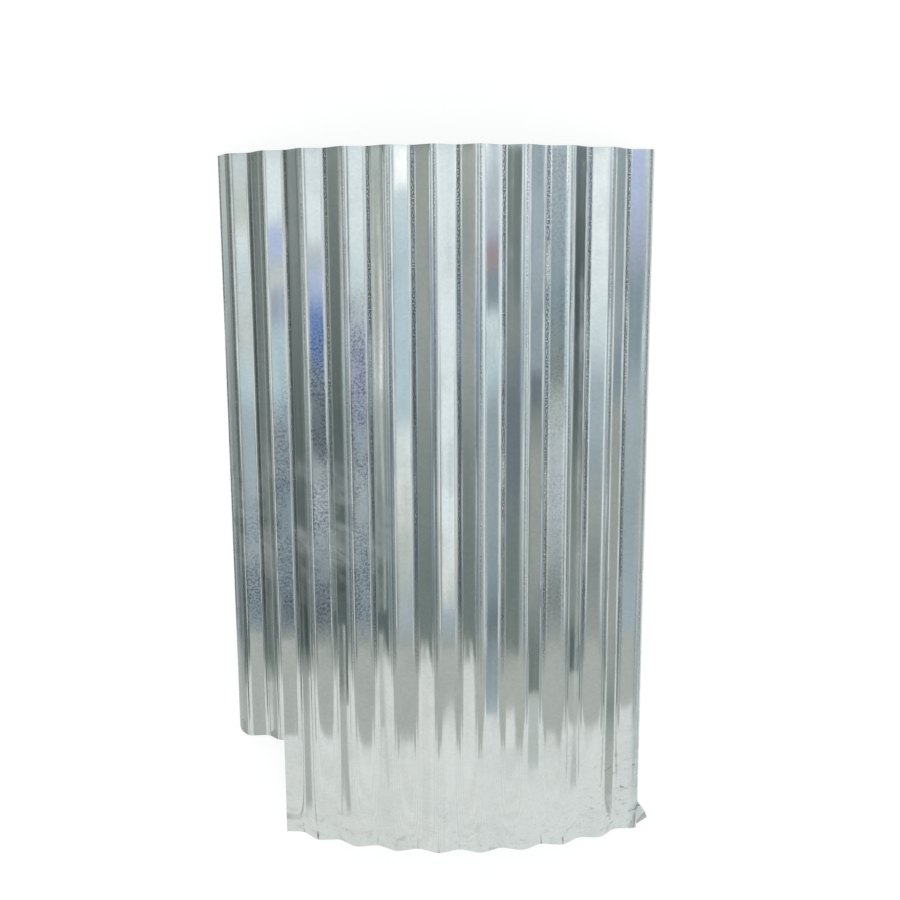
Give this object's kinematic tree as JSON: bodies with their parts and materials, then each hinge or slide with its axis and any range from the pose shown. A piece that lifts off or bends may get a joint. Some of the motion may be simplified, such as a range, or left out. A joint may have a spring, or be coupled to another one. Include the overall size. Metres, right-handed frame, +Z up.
{
  "type": "corrugated metal sheet",
  "caption": "Galvanised steel sheet rolled into round waves and bowed across its width, with a notch cut from one corner and another corner torn and bent out.",
  "frame": {"origin": "on the floor, under the middle of the box that the sheet fills", "axes": "+X across the waves, +Y along the waves away from the notched end, +Z up from the floor through the crown of the bow"},
  "size_m": [0.78, 1.244, 0.1221],
  "materials": {
    "galvanised_steel": "hot-dip zinc, bright, with fine spangle, cloudy stains and a few scuffs"
  },
  "bodies": {
    "root": {"corrugated_sheet": "galvanised_steel"}
  },
  "joints": []
}
